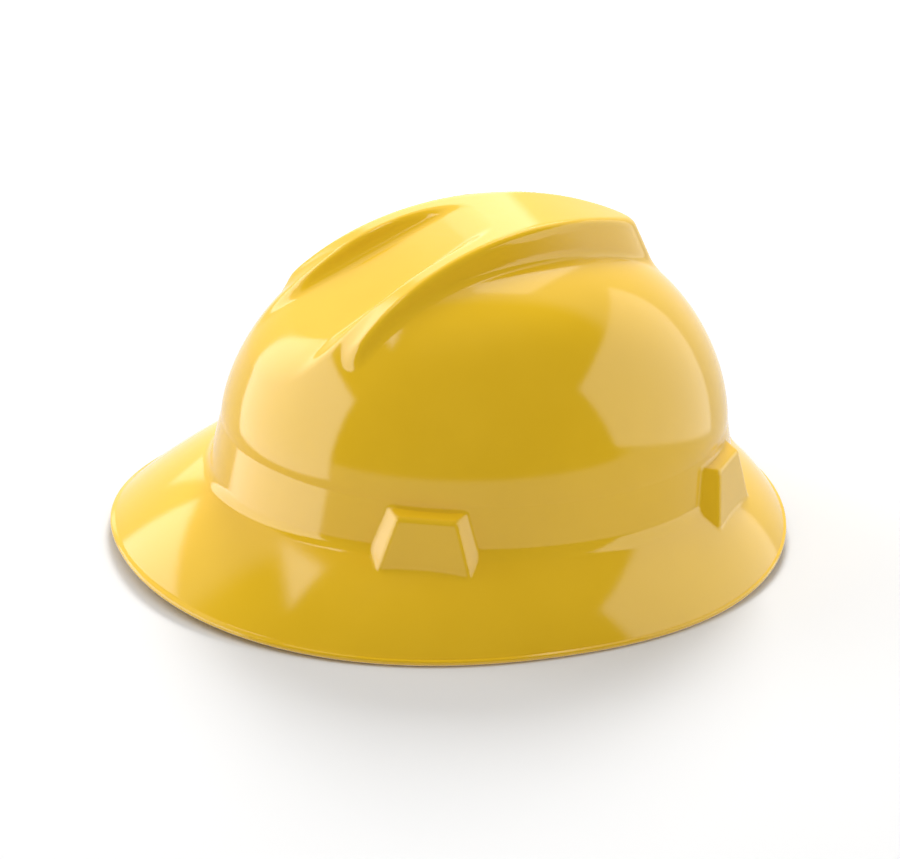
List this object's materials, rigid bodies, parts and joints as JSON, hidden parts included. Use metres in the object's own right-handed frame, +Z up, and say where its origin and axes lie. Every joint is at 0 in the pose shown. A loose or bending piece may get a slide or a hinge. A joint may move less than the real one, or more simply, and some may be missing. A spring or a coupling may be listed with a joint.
{
  "type": "full brim hard hat",
  "caption": "Full brim hard hat: ribbed crown shell with key bosses, strap cradle, headband, sweatband and ratchet adjuster at the nape.",
  "frame": {"origin": "bottom centre of the bounding box, on the surface that the brim's low sides stand on", "axes": "+Z up, front of the hat along -Y, wearer's left along +X"},
  "size_m": [0.276, 0.3264, 0.1585],
  "materials": {
    "shell": "glossy moulded plastic",
    "keys": "satin moulded plastic",
    "webbing": "woven nylon",
    "band": "satin moulded plastic",
    "pads": "soft knit over foam",
    "knob": "fine grained plastic",
    "gear": "natural acetal",
    "steel": "zinc plated"
  },
  "bodies": {
    "hat": {"shell": "shell", "front_left_key": "keys", "front_right_key": "keys", "rear_left_key": "keys", "rear_right_key": "keys", "left_to_right_strap": "webbing", "right_to_left_strap": "webbing", "headband": "band", "sweatband": "pads", "sweatband_studs": "keys", "ratchet_housing": "band", "back_plate": "band", "housing_screws": "steel", "nape_pad": "pads"},
    "knob": {"knob": "knob", "pinion": "gear", "detent_spring": "gear", "knob_screw": "steel", "knob_cap": "knob"},
    "left_rack": {"left_rack_strap": "band"},
    "right_rack": {"right_rack_strap": "band"}
  },
  "joints": [
    {"name": "knob_turn", "type": "hinge", "parent": "hat", "child": "knob", "pos_m": [0, 0.11, 0.024], "axis": [0, 1, 0], "range_deg": [-225, 225]},
    {"name": "left_strap_slide", "type": "hinge", "parent": "hat", "child": "left_rack", "pos_m": [0, 0.02625, 0.024], "axis": [0, 0, 1], "range_deg": [-17.8, 17.8]},
    {"name": "right_strap_slide", "type": "hinge", "parent": "hat", "child": "right_rack", "pos_m": [0, 0.02625, 0.024], "axis": [0, 0, 1], "range_deg": [-17.8, 17.8]}
  ],
  "couplings": [
    {"joint": "left_strap_slide", "follows": "knob_turn", "ratio": -0.0777},
    {"joint": "right_strap_slide", "follows": "knob_turn", "ratio": 0.0757}
  ]
}
